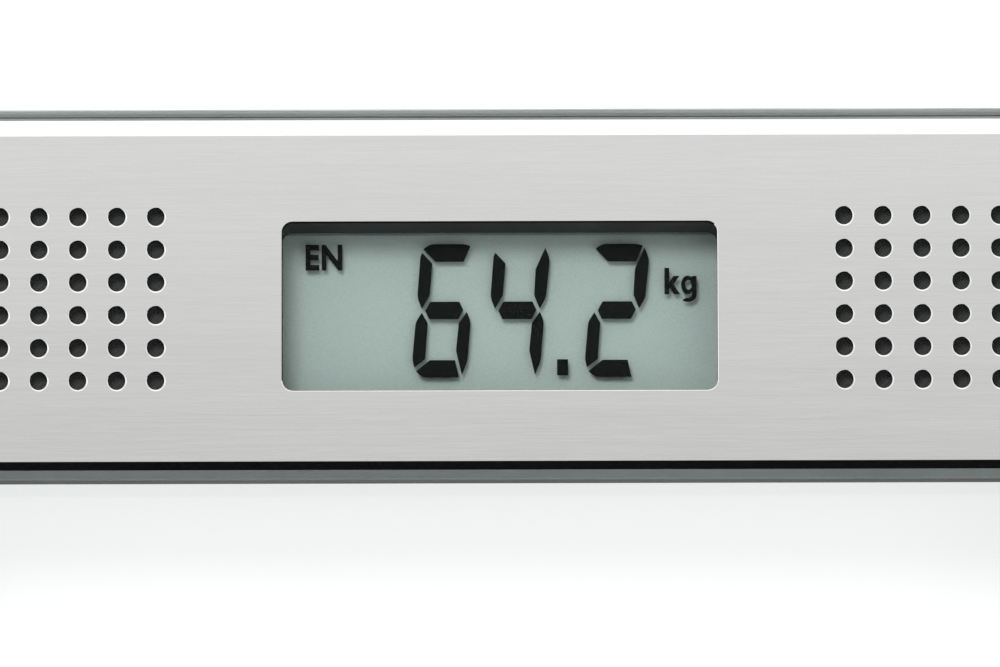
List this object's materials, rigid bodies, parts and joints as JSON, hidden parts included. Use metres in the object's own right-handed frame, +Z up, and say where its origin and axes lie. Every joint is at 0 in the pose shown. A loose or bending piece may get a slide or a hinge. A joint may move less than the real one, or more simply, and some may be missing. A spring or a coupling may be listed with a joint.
{
  "type": "digital bathroom scale",
  "caption": "Square clear-glass bathroom scale with a raised brushed-metal display bar, a recessed segment display between perforated speaker fields, and sprung load-cell feet.",
  "frame": {"origin": "on the floor under the middle of the glass platform", "axes": "+Z up, +Y towards the display bar at the far end, +X to the right of a person who stands on it and reads the display"},
  "size_m": [0.3, 0.3, 0.0347],
  "materials": {
    "platform_glass": "polished, clear with a green edge",
    "brushed_cover": "fine brushing along the bar",
    "black_plastic": "moulded, fine grain",
    "black_foam": "closed-cell foam",
    "display_glass": "polished",
    "reflector_film": "grey-green reflective film",
    "zebra_rubber": "striped conductive rubber",
    "circuit_board": "solder mask",
    "chip_resin": "moulded resin",
    "grey_foam": "double-sided foam tape",
    "grey_plastic": "moulded, fine grain",
    "contact_plating": "nickel plated",
    "disc_steel": "turned",
    "cell_steel": "stamped",
    "socket_plastic": "natural nylon",
    "sound_cloth": "woven acoustic cloth",
    "basket_steel": "black",
    "cone_film": "pressed film",
    "lead_sheath": "smooth",
    "cell_jacket": "printed jacket, plain",
    "button_plastic": "moulded",
    "pad_rubber": "soft"
  },
  "bodies": {
    "scale": {"back_zebra_strip": "zebra_rubber", "bar_base": "black_plastic", "battery_cell_1": "cell_jacket", "battery_cell_2": "cell_jacket", "battery_cell_3": "cell_jacket", "battery_contacts": "contact_plating", "bond_discs": "disc_steel", "cover_plate": "brushed_cover", "display_chip": "chip_resin", "foot_housings": "grey_plastic", "front_zebra_strip": "zebra_rubber", "housing_screws": "contact_plating", "housing_tape": "grey_foam", "lcd_front_glass": "display_glass", "lcd_gasket": "black_foam", "lcd_rear_glass": "display_glass", "lcd_reflector": "reflector_film", "lcd_seal": "black_foam", "lead_sockets": "socket_plastic", "left_back_lead": "lead_sheath", "left_front_lead": "lead_sheath", "left_lead_channel": "grey_plastic", "left_sound_cloth": "sound_cloth", "left_speaker_basket": "basket_steel", "left_speaker_cone": "cone_film", "load_cells": "cell_steel", "lower_housing": "grey_plastic", "main_board": "circuit_board", "platform_glass": "platform_glass", "right_back_lead": "lead_sheath", "right_front_lead": "lead_sheath", "right_lead_channel": "grey_plastic", "right_sound_cloth": "sound_cloth", "right_speaker_basket": "basket_steel", "right_speaker_cone": "cone_film", "speech_chip": "chip_resin", "switch_board": "circuit_board", "tact_switches": "chip_resin"},
    "battery_door": {"battery_door": "grey_plastic"},
    "unit_button": {"unit_button": "button_plastic"},
    "language_button": {"language_button": "button_plastic"},
    "volume_button": {"volume_button": "button_plastic"},
    "front_left_foot": {"front_left_foot_shoe": "black_plastic", "front_left_foot_pad": "pad_rubber"},
    "front_right_foot": {"front_right_foot_shoe": "black_plastic", "front_right_foot_pad": "pad_rubber"},
    "back_left_foot": {"back_left_foot_shoe": "black_plastic", "back_left_foot_pad": "pad_rubber"},
    "back_right_foot": {"back_right_foot_shoe": "black_plastic", "back_right_foot_pad": "pad_rubber"}
  },
  "joints": [
    {"name": "battery_door_hinge", "type": "hinge", "parent": "scale", "child": "battery_door", "pos_m": [-0.02975, 0.1177, 0.0065], "axis": [0, 1, 0], "range_deg": [0, 90]},
    {"name": "unit_press", "type": "slide", "parent": "scale", "child": "unit_button", "axis": [0, 0, 1], "range_m": [0, 0.0006], "stiffness_N_per_m": 3000},
    {"name": "language_press", "type": "slide", "parent": "scale", "child": "language_button", "axis": [0, 0, 1], "range_m": [0, 0.0006], "stiffness_N_per_m": 3000},
    {"name": "volume_press", "type": "slide", "parent": "scale", "child": "volume_button", "axis": [0, 0, 1], "range_m": [0, 0.0006], "stiffness_N_per_m": 3000},
    {"name": "front_left_foot_travel", "type": "slide", "parent": "scale", "child": "front_left_foot", "axis": [0, 0, 1], "range_m": [0, 0.0005], "stiffness_N_per_m": 3000, "springref_m": -0.003},
    {"name": "front_right_foot_travel", "type": "slide", "parent": "scale", "child": "front_right_foot", "axis": [0, 0, 1], "range_m": [0, 0.0005], "stiffness_N_per_m": 3000, "springref_m": -0.003},
    {"name": "back_left_foot_travel", "type": "slide", "parent": "scale", "child": "back_left_foot", "axis": [0, 0, 1], "range_m": [0, 0.0005], "stiffness_N_per_m": 3000, "springref_m": -0.003},
    {"name": "back_right_foot_travel", "type": "slide", "parent": "scale", "child": "back_right_foot", "axis": [0, 0, 1], "range_m": [0, 0.0005], "stiffness_N_per_m": 3000, "springref_m": -0.003}
  ]
}
